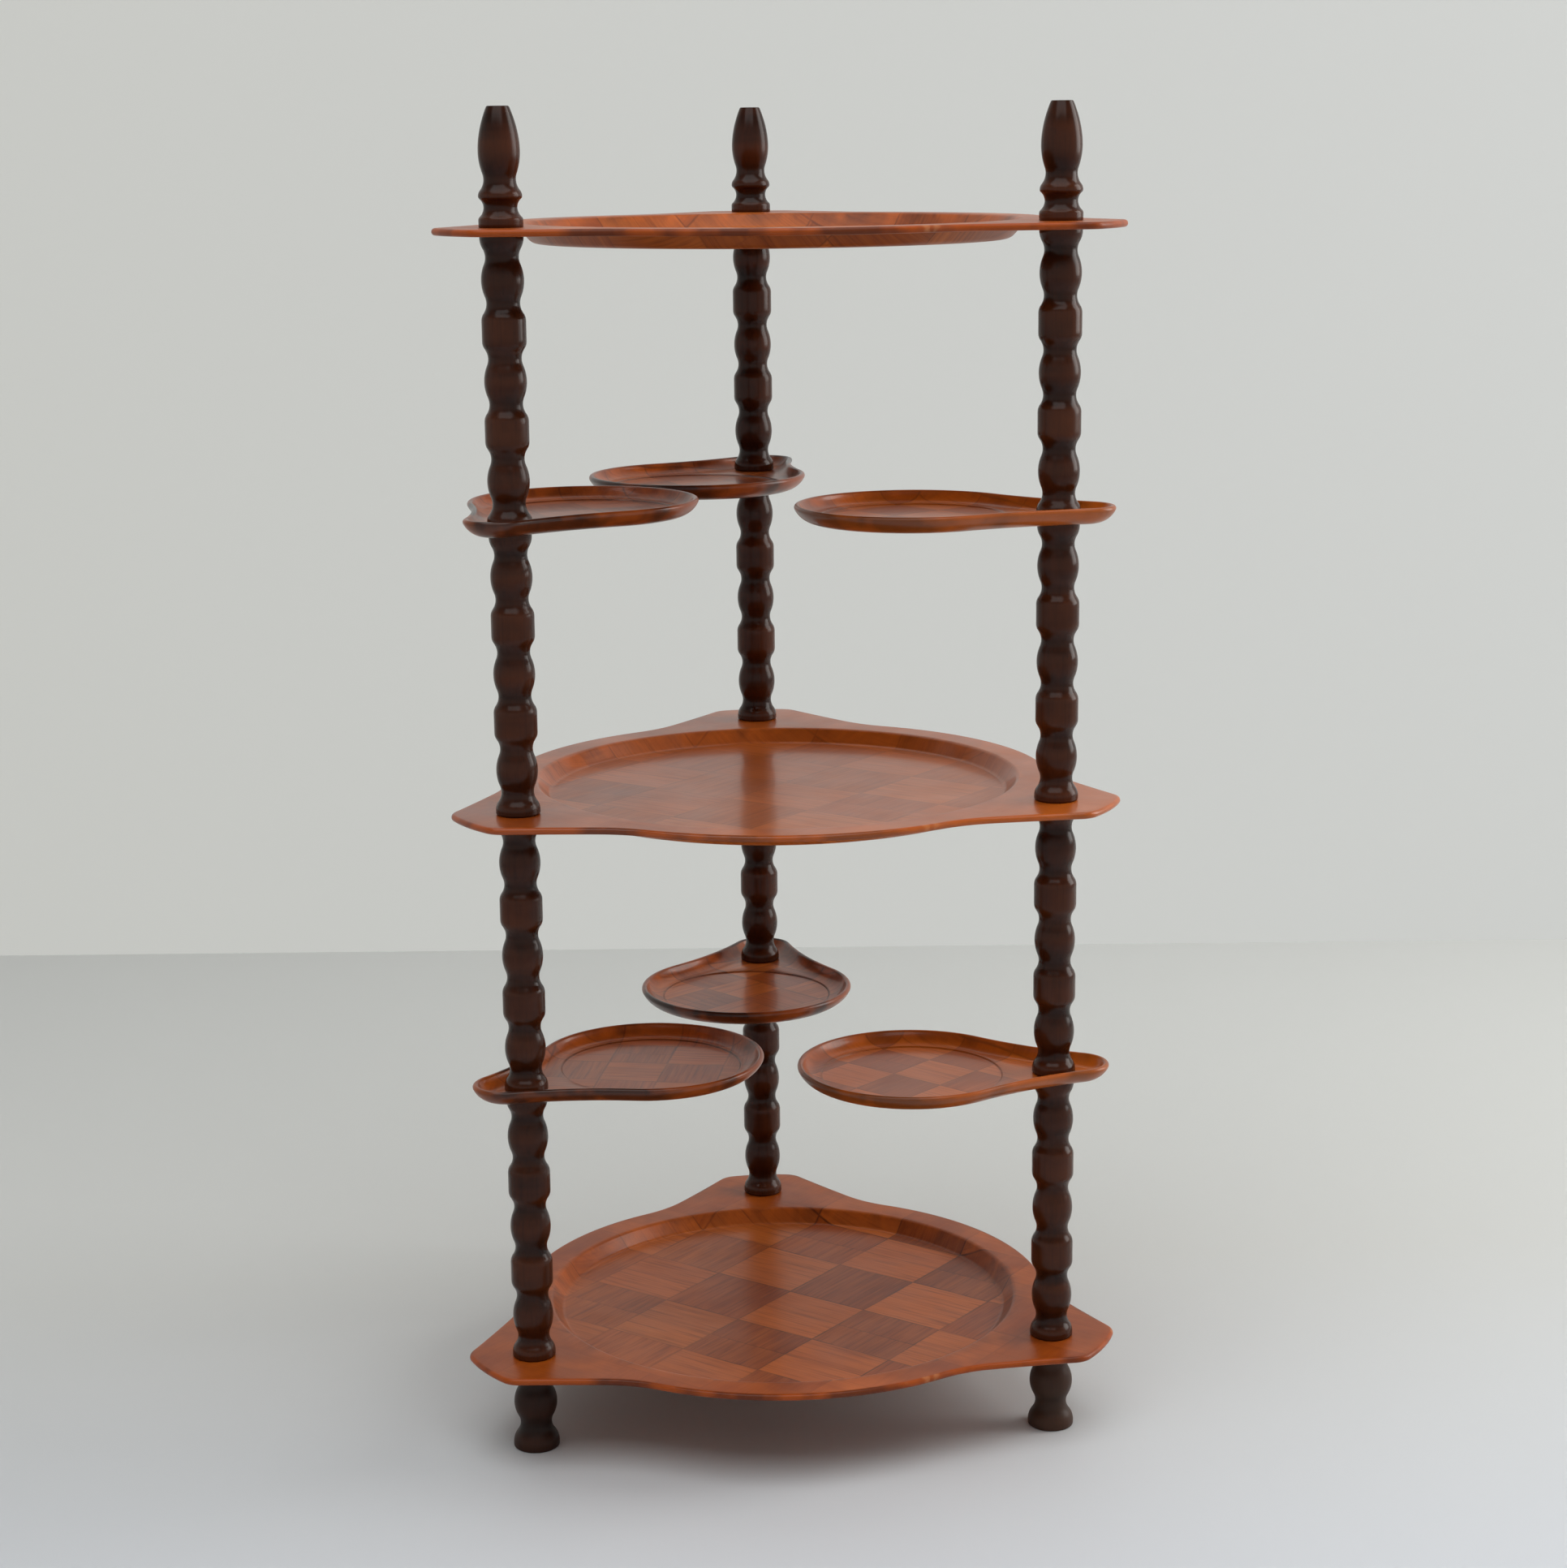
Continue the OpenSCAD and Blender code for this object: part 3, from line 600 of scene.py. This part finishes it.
def veneer_group():
    """Veneer laid in squares, light and dark in turn, with the grain crossing from one to the next"""
    tree = bpy.data.node_groups.new("veneer squares", "ShaderNodeTree")
    for name in ("Place", "Square", "Seed", "Contrast", "Wall", "Flange"):
        kind = "NodeSocketVector" if name == "Place" else "NodeSocketFloat"
        tree.interface.new_socket(name=name, in_out="INPUT", socket_type=kind)
    for name in ("Colour", "Roughness", "Height"):
        kind = "NodeSocketColor" if name == "Colour" else "NodeSocketFloat"
        tree.interface.new_socket(name=name, in_out="OUTPUT", socket_type=kind)
    f = Finish(tree=tree)
    given = tree.nodes.new("NodeGroupInput").outputs
    place, square, seed, wall, flange = (given[name] for name in ("Place", "Square", "Seed", "Wall", "Flange"))
    own = f.vector("ADD", place, f.node("ShaderNodeCombineXYZ", Z=seed).outputs[0])
    # slightly wavy joints, as cut and laid by hand
    wander = f.node("ShaderNodeTexNoise", Vector=own, Scale=9.0, Detail=1.0).outputs["Color"]
    wander = f.vector("MULTIPLY", f.vector("SUBTRACT", wander, (0.5, 0.5, 0.5)), (WANDER, WANDER, 0))
    laid = f.vector("ADD", place, wander)
    inverse = f.sum("DIVIDE", 1.0, square)
    grid = f.vector("MULTIPLY", laid, f.node("ShaderNodeCombineXYZ", X=inverse, Y=inverse).outputs[0])
    cell = f.node("ShaderNodeSeparateXYZ", Vector=f.vector("FLOOR", grid)).outputs
    at = f.node("ShaderNodeSeparateXYZ", Vector=f.vector("FRACTION", grid)).outputs
    parity = f.sum("FLOORED_MODULO", f.sum("ADD", cell[0], cell[1]), 2.0)
    keyed = f.node("ShaderNodeCombineXYZ", X=cell[0], Y=cell[1], Z=seed).outputs[0]
    chance = f.node("ShaderNodeTexWhiteNoise", {"noise_dimensions": "3D"}, Vector=keyed).outputs["Color"]
    chances = f.node("ShaderNodeSeparateXYZ", Vector=chance).outputs
    # distance to the joints between squares and, in some squares, to a joint down the middle, in metres
    gap_x = f.sum("MINIMUM", at[0], f.sum("SUBTRACT", 1.0, at[0]))
    gap_y = f.sum("MINIMUM", at[1], f.sum("SUBTRACT", 1.0, at[1]))
    gap = f.sum("MULTIPLY", f.sum("MINIMUM", gap_x, gap_y), square)
    split = f.sum("MULTIPLY", f.sum("ABSOLUTE", f.sum("SUBTRACT", at[0], 0.5)), square)
    halved = f.sum("GREATER_THAN", chances[2], WHOLE_SQUARES)
    half = f.sum("MULTIPLY", halved, f.sum("GREATER_THAN", at[0], 0.5))
    # the grain runs one way in light squares and the other way in dark ones
    flat = f.node("ShaderNodeSeparateXYZ", Vector=place).outputs
    other = f.sum("SUBTRACT", 1.0, parity)
    along = f.sum("ADD", f.sum("MULTIPLY", flat[0], parity), f.sum("MULTIPLY", flat[1], other))
    across = f.sum("ADD", f.sum("MULTIPLY", flat[1], parity), f.sum("MULTIPLY", flat[0], other))
    depth = f.sum("ADD", f.sum("MULTIPLY", chances[0], 3.0), f.sum("MULTIPLY", half, 5.0))

    def grain(length, width, scale, detail, roughness):
        long_way, short_way = f.sum("MULTIPLY", along, length), f.sum("MULTIPLY", across, width)
        where = f.node("ShaderNodeCombineXYZ", X=long_way, Y=short_way, Z=depth)
        return f.noise(where.outputs[0], scale, detail, roughness, 0.25)

    fine = grain(9.0, 230.0, 2.0, 2.0, 0.6)
    figure = grain(10.0, 120.0, 1.6, 3.0, 0.6)
    blotch = f.noise(own, 14.0, 3.0, 0.55)
    # tone of each square
    tone = f.sum("MULTIPLY_ADD", f.sum("SUBTRACT", parity, 0.5), given["Contrast"], 0.45)
    for part, share in ((chances[1], 0.3), (figure, 0.8), (blotch, 0.9)):
        tone = f.sum("ADD", tone, f.sum("MULTIPLY", f.sum("SUBTRACT", part, 0.5), share))
    tone = f.sum("MULTIPLY_ADD", half, 0.12, tone, clamp=True)
    colour = f.mix(tone, SQUARE_LIGHT, SQUARE_DARK)
    colour = f.mix(f.sum("MULTIPLY", chances[0], 0.3), colour, SQUARE_RED)
    colour = f.mix(f.spread(fine, 0.5, 0.75, 0.0, 0.6), colour, PORE)
    colour = f.mix(f.spread(fine, 0.45, 0.2, 0.0, 0.22), colour, SILK)
    # dark joints, stronger in some places
    middle_joint = f.sum("MULTIPLY", f.spread(split, *MIDDLE_JOINT_W, 0.7, 0.0), halved)
    joint = f.sum("MAXIMUM", f.spread(gap, *JOINT_W, 1.0, 0.0), middle_joint)
    joint = f.sum("MULTIPLY", joint, f.spread(f.noise(own, 30.0, 2.0), 0.35, 0.65, 0.4, 1.0))
    joint = f.sum("MULTIPLY", joint, f.spread(given["Contrast"], 0.3, 0.6, 0.45, 0.75))
    # warmer and more even on the flange and up the walls, where the lacquer is thick
    flanges = f.mix(f.spread(blotch, 0.35, 0.65), *FLANGE_LACQUER)
    colour = f.mix(f.sum("MULTIPLY", flange, 0.62), colour, flanges)
    streak = f.noise(f.vector("MULTIPLY", own, (30.0, 30.0, 8.0)), 1.0, 4.0, 0.6, 0.6)
    walls = f.mix(f.spread(streak, 0.4, 0.66), *WALL_LACQUER)
    colour = f.mix(f.sum("MULTIPLY", wall, 0.62), colour, walls)
    # the joints run on up the walls, and fade under the lacquer of the flange
    colour = f.mix(f.sum("MULTIPLY", joint, f.spread(flange, 0.0, 1.0, 1.0, 0.3)), colour, JOINT)
    out = tree.nodes.new("NodeGroupOutput").inputs
    f.put(colour, out["Colour"])
    f.put(f.spread(f.noise(own, 22.0, 3.0), 0.3, 0.7, *TRAY_ROUGH), out["Roughness"])
    f.put(f.noise(own, 16.0, 1.0), out["Height"])
    return tree


def tray_finish(name, group, centre, z, turn, lay, square, seed, rolled, contrast, gloss, painted_window_light):
    """Lacquered veneer for one tray; the squares turn about the middle of its dish

    contrast: how far light and dark squares stand apart, at the tray's left and right; gloss: weight of the
    clear coat; the last, painted light from the window: how much lighter and more golden its right side is made.
    """
    f = Finish(name)
    where = f.node("ShaderNodeTexCoord").outputs["Object"]
    shift = f.vector("SUBTRACT", where, (centre[0] * MM, centre[1] * MM, z * MM))
    place = f.node("ShaderNodeMapping", Vector=shift, Rotation=(0, 0, -radians(turn)),
                   Location=(lay[0] * MM, lay[1] * MM, 0))
    marks = {mark: f.node("ShaderNodeAttribute", {"attribute_name": mark}).outputs["Fac"]
             for mark in ("edge", "wall", "flange", "groove")}
    x = f.node("ShaderNodeSeparateXYZ", Vector=shift).outputs[0]
    veneer = f.node("ShaderNodeGroup", {"node_tree": group}, Place=place.outputs[0], Square=square,
                    Seed=seed, Contrast=f.spread(x, -0.14, 0.1, *contrast), Wall=marks["wall"],
                    Flange=marks["flange"]).outputs
    colour, edge = veneer["Colour"], marks["edge"]
    long_patches = f.noise(shift, 15.0, 3.0, 0.6)
    patches = f.noise(shift, 34.0, 3.0, 0.6)
    chips = f.noise(shift, 120.0, 3.0, 0.6)
    if rolled:
        stained = f.sum("MULTIPLY", marks["flange"], f.spread(long_patches, 0.42, 0.62, 0.0, 0.4))
        colour = f.mix(stained, colour, FLANGE_STAIN)
        rolled_on = f.mix(f.spread(long_patches, 0.44, 0.56), *ROLLED_EDGE)
        colour = f.mix(f.sum("MULTIPLY", edge, 0.85), colour, rolled_on)
        rubbed = f.sum("MULTIPLY", f.spread(patches, 0.62, 0.7), f.spread(chips, 0.45, 0.55))
        colour = f.mix(f.sum("MULTIPLY", f.sum("MULTIPLY", rubbed, edge), 0.4), colour, RUBBED_EDGE)
    else:
        dark_stretch = f.spread(long_patches, 0.56, 0.44)
        stained = f.sum("MULTIPLY", marks["wall"], dark_stretch)
        colour = f.mix(f.sum("MULTIPLY", stained, 0.45), colour, WALL_STAIN)
        rim = f.mix(dark_stretch, *SWIVEL_EDGE)
        colour = f.mix(f.sum("MULTIPLY", edge, 0.9), colour, rim)
        # painted shade along the fine step round the sunk floor
        colour = f.mix(f.sum("MULTIPLY", marks["groove"], 0.55), colour, STEP_SHADE)
    # painted light from the window: the tray's right side made lighter and more golden
    if painted_window_light:
        colour = f.mix(f.spread(x, -0.2, 0.2, 0.0, painted_window_light), colour, PAINTED_LIGHT_COLOUR)
    bump = f.node("ShaderNodeBump", Strength=0.35, Distance=0.0004, Height=veneer["Height"]).outputs[0]
    waves = f.node("ShaderNodeBump", Strength=0.2, Distance=0.0005, Height=f.noise(shift, 9.0, 2.0)).outputs[0]
    f.shade(Base_Color=colour, Roughness=veneer["Roughness"], Normal=bump,
            Specular_IOR_Level=TRAY_SPECULAR, Coat_Weight=gloss, Coat_Roughness=COAT_ROUGH, Coat_Normal=waves)
    return f.material


def turned_finish(name, post, seed, dull=0.0, foot_tone=None):
    """Dark stained turning under semi-gloss lacquer: upright grain, lathe marks, painted shade in the necks,
    rubbed crests
    """
    f = Finish(name)
    where = f.node("ShaderNodeTexCoord").outputs["Object"]
    moved = f.vector("ADD", where, (seed * 1.7, seed * 0.9, seed * 0.31))
    from_post = f.vector("SUBTRACT", where, (post[0] * MM, post[1] * MM, 0))
    radius = f.length(f.vector("MULTIPLY", from_post, (1, 1, 0)))
    grain = f.noise(f.vector("MULTIPLY", moved, (420.0, 420.0, 16.0)), 1.0, 4.0, 0.6, 0.4)
    figure = f.noise(f.vector("MULTIPLY", moved, (50.0, 50.0, 12.0)), 1.0, 3.0, 0.6, 0.6)
    rings = f.noise(f.vector("MULTIPLY", moved, (4.0, 4.0, 60.0)), 1.0, 2.0, 0.5)
    patches = f.noise(moved, 24.0, 3.0, 0.6)
    colour = f.mix(f.spread(figure, 0.3, 0.7), *POST_STAIN)
    colour = f.mix(f.spread(rings, 0.42, 0.66, 0.0, 0.5), colour, LATHE_RING)
    rubbed = f.sum("MULTIPLY", f.spread(radius, *CREST_RUBBED), f.spread(patches, 0.35, 0.7, 0.15, 0.75))
    colour = f.mix(rubbed, colour, RUBBED_CREST)
    # painted shade: darker in the necks, the hollows between the beads
    colour = f.mix(f.spread(radius, *NECK_DARK, 0.0, 0.35), colour, NECK_SHADE)
    colour = f.mix(f.spread(grain, 0.5, 0.75, 0.0, 0.35), colour, POST_PORE)
    if dull:
        colour = f.mix(dull, colour, foot_tone)
    rough = f.spread(f.noise(moved, 40.0, 3.0), 0.3, 0.7, *(value + dull * WEAR_ROUGH for value in POST_ROUGH))
    lathe = f.noise(f.vector("MULTIPLY", moved, (2.0, 2.0, 900.0)), 1.0, 2.0, 0.5)
    height = f.sum("ADD", f.sum("MULTIPLY", grain, 0.1), f.sum("MULTIPLY", lathe, 0.15))
    bump = f.node("ShaderNodeBump", Strength=0.25, Distance=0.0003, Height=height).outputs[0]
    f.shade(Base_Color=colour, Roughness=rough, Normal=bump, Specular_IOR_Level=POST_SPECULAR)
    return f.material


def steel_finish():
    f = Finish("drawn steel")
    where = f.node("ShaderNodeTexCoord").outputs["Object"]
    drawn = f.noise(f.vector("MULTIPLY", where, (900.0, 900.0, 14.0)), 1.0, 3.0)
    rough = f.spread(drawn, 0.2, 0.8, *STEEL_ROUGH)
    f.shade(Base_Color=f.mix(drawn, *DRAWN_STEEL), Metallic=1.0, Roughness=rough)
    return f.material


def seen_ray(f):
    """One for the rays that show the background: the camera's, and those that gloss or glass sends on"""
    ray = f.node("ShaderNodeLightPath").outputs
    sent_on = f.sum("MAXIMUM", ray["Is Glossy Ray"], ray["Is Transmission Ray"])
    return f.sum("MAXIMUM", ray["Is Camera Ray"], sent_on)


def plain_paint(name, colour, roughness, front=None):
    """Plain painted surface, a little cloudy, for the stage; what follows blends more over it"""
    f = Finish(name)
    f.where = f.node("ShaderNodeTexCoord").outputs["Object"]
    f.x, f.y = f.node("ShaderNodeSeparateXYZ", Vector=f.where).outputs[:2]
    base = f.mix(f.noise(f.where, 0.8, 2.0), colour, tuple(c * 0.97 for c in colour[:3]) + (1,))
    if front:
        base = f.mix(f.spread(f.y, *FRONT_FADE), base, front)
    f.paint = f.shade(Base_Color=base, Roughness=roughness).outputs[0]
    return f


def floor_finish():
    """Takes the stand's shadow near it, and fades to the pale of the room further off"""
    f = plain_paint("pale floor", FLOOR, 0.6, FLOOR_IN_FRONT)
    far = f.sum("MULTIPLY", seen_ray(f), f.spread(f.length(f.where), *FAR_FADE))
    light = f.node("ShaderNodeEmission", Color=BACKDROP_GLOW[1]).outputs[0]
    f.show(f.blend(far, f.paint, light))
    return f.material


def backdrop_finish():
    """Light of its own evens out how the wall looks; it is open from behind, to show the stand from there"""
    f = plain_paint("pale wall", WALL, 0.9)
    glow = f.mix(f.spread(f.x, *GLOW_ENDS), *BACKDROP_GLOW)
    light = f.node("ShaderNodeEmission", Color=glow).outputs[0]
    wall = f.blend(f.sum("MULTIPLY", seen_ray(f), GLOW_SHARE), f.paint, light)
    behind = f.node("ShaderNodeNewGeometry").outputs["Backfacing"]
    f.show(f.blend(behind, wall, f.node("ShaderNodeBsdfTransparent").outputs[0]))
    return f.material


# ---------------------------------------------------------------- the stand
BODY = "stand"
# how dull each foot is, and the colour mixed into its stain by that much
FOOT_TONES = {
    "left": (0.55, linear(28, 17, 12)), "right": (0.6, linear(66, 50, 40)), "back": (0.3, linear(40, 26, 18)),
}
# how the squares lie: turned in degrees, moved in millimetres, and their size in metres
SQUARES_TURN, TRAY_LAY, SWIVEL_LAY, TRAY_SQUARE, SWIVEL_SQUARE = 50, (-20, -7), (37, 11), 0.072, 0.045
# contrast and gloss of each tray, and how much painted light from the window lightens its right side
TRAY_LOOKS = {
    "bottom": {"contrast": (0.3, 0.75), "gloss": 0.06, "painted_window_light": 0},
    "middle": {"contrast": (0.25, 0.4), "gloss": 0.36, "painted_window_light": 0.35},
    "top": {"contrast": (0.35, 0.35), "gloss": 0.0, "painted_window_light": 0},
}
SWIVEL_LOOKS = {side: {"contrast": (0.35, 0.35), "gloss": 0.3, "painted_window_light": 0} for side in SIDES}
SWIVEL_LOOKS["right"] = {"contrast": (1.3, 1.3), "gloss": 0.3, "painted_window_light": 0.4}
bobbin = bobbin_tree()


def bobbin_piece(node, post, sizes, turn, finish):
    place = (post[0] * MM, post[1] * MM, bottom(node) * MM)
    mesh = bobbin_mesh(bobbin, {**sizes, "Place": place, "Turn": turn, "Material": finish})
    finished_piece(f"{node}_turning", mesh, finish, BODY, "dark_wood", node)


for seed, side in enumerate(SIDES, 1):
    post = POSTS[side]
    stain = turned_finish(f"stained turning {side}", post, seed)
    foot_finish = turned_finish(f"stained foot {side}", post, seed + 5, *FOOT_TONES[side])
    bobbin_piece(f"{side}_foot", post, FOOT, 0.4, foot_finish)
    for number in range(1, 5):
        bobbin_piece(f"{side}_spindle_{number}", post, SPINDLE, 0.7 * number, stain)
    node = f"{side}_finial"
    mesh = lathed_mesh(node, finial_points(top(node) - bottom(node)), (*post, bottom(node)))
    finished_piece(f"{node}_turning", mesh, stain, BODY, "dark_wood", node)

veneer = veneer_group()
for seed, (name, look) in enumerate(TRAY_LOOKS.items(), 1):
    node = f"{name}_tray"
    finish = tray_finish(f"veneer {name} tray", veneer, CENTRE, top(node), SQUARES_TURN, TRAY_LAY,
                         TRAY_SQUARE, seed, rolled=True, **look)
    finished_piece(f"{name}_tray_board", fixed_tray_mesh(node, top(node)), finish, BODY, "tray_wood", node)
for height in TURNS:
    for side in SIDES:
        node, body, post = f"{height}_{side}_swivel_tray", f"{height}_{side}_swivel", POSTS[side]
        turn = TURNS[height][side]
        centre = (post[0] + DISC_X * cos(radians(turn)), post[1] + DISC_X * sin(radians(turn)))
        seed = 10 + 3 * list(TURNS).index(height) + SIDES.index(side)
        finish = tray_finish(f"veneer {height} {side} swivel tray", veneer, centre, bottom(node),
                             turn + SQUARES_TURN, SWIVEL_LAY, SWIVEL_SQUARE, seed, rolled=False,
                             **SWIVEL_LOOKS[side])
        mesh = swivel_tray_mesh(node, post, bottom(node), turn)
        finished_piece(f"{body}_board", mesh, finish, body, "tray_wood", node)

steel = steel_finish()
for side in SIDES:
    for number in range(1, 6):
        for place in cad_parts[f"{side}_stud_{number}"].material_slots:
            place.material = steel

# ---------------------------------------------------------------- stage
# the camera, fitted to the outlines of trays and posts in the photograph
CAMERA_AT = Vector((-165.9, -2287.3 + CENTRE[1], 987.3)) * MM
YAW, PITCH, ROLL = radians(4.267), radians(12.208), radians(-0.605)
FOCAL_PX, PHOTO_W, SENSOR_W = 3706, 1931, 36
# the wall stands square to the camera's way of looking, this far behind the middle of the frame, in metres
WALL_AWAY, STAGE_REACH, WALL_HEIGHT = 1.28, 6, 5
onward, rightward = Vector((sin(YAW), cos(YAW), 0)), Vector((cos(YAW), -sin(YAW), 0))


def plane(name, corners, material):
    mesh = bpy.data.meshes.new(name)
    mesh.from_pydata(corners, [], [tuple(range(len(corners)))])
    mesh.materials.append(material)
    thing = bpy.data.objects.new(name, mesh)
    bpy.context.scene.collection.objects.link(thing)


wall_ends = [onward * WALL_AWAY + rightward * STAGE_REACH * way for way in (-1, 1)]
floor_near, floor_far = ([end + onward * STAGE_REACH * way for end in wall_ends] for way in (-1, 1))
plane("floor", floor_near + floor_far[::-1], floor_finish())
plane("backdrop", wall_ends + [end + Vector((0, 0, WALL_HEIGHT)) for end in wall_ends[::-1]], backdrop_finish())


# ---------------------------------------------------------------- light
def softbox(name, at, towards, width, height, power, colour=(1, 1, 1)):
    lamp = bpy.data.lights.new(name, "AREA")
    lamp.shape, lamp.size, lamp.size_y, lamp.energy, lamp.color = "RECTANGLE", width, height, power, colour
    thing = bpy.data.objects.new(name, lamp)
    bpy.context.scene.collection.objects.link(thing)
    thing.location = at
    thing.rotation_euler = (Vector(towards) - Vector(at)).to_track_quat("-Z", "Y").to_euler()


softbox("window", (2.7, 0.2, 1.6), (0, 0, 0.6), width=1.5, height=2.2, power=46, colour=(1.0, 0.98, 0.95))
softbox("ceiling", (-0.2, -0.9, 3.2), (0, 0, 0), width=3.4, height=3.4, power=66)

# the room's light, and pale walls all round that the camera and the gloss see; they end between these heights
# over the horizon, as the sine of the angle
ROOM_LIGHT, PALE_ENDS = 0.24, (0.28, 0.5)
world = bpy.data.worlds.new("room")
bpy.context.scene.world = world
world.use_nodes = True
room = Finish(tree=world.node_tree)
light, room.output = world.node_tree.nodes["Background"], world.node_tree.nodes["World Output"]
room.put((1.0, 0.99, 0.97, 1), light.inputs["Color"])
room.put(ROOM_LIGHT, light.inputs["Strength"])
towards = room.node("ShaderNodeTexCoord").outputs["Generated"]
upward = room.node("ShaderNodeSeparateXYZ", Vector=towards).outputs[2]
pale = room.sum("MULTIPLY", seen_ray(room), room.spread(upward, *PALE_ENDS, 1.0, 0.0))
walls = room.node("ShaderNodeBackground", Color=BACKDROP_GLOW[1]).outputs[0]
room.show(room.blend(pale, light.outputs[0], walls))

# ---------------------------------------------------------------- camera
camera = bpy.data.cameras.new("camera")
camera.sensor_width = SENSOR_W
camera.lens = FOCAL_PX * SENSOR_W / PHOTO_W
camera.clip_end = 50
eye = bpy.data.objects.new("camera", camera)
bpy.context.scene.collection.objects.link(eye)
forward = onward * cos(PITCH) - Vector((0, 0, sin(PITCH)))
up = rightward.cross(forward)
across, upright = rightward * cos(ROLL) + up * sin(ROLL), up * cos(ROLL) - rightward * sin(ROLL)
eye.matrix_world = Matrix.Translation(CAMERA_AT) @ Matrix((across, upright, -forward)).transposed().to_4x4()
bpy.context.scene.camera = eye
bpy.context.scene.view_settings.view_transform = "Standard"
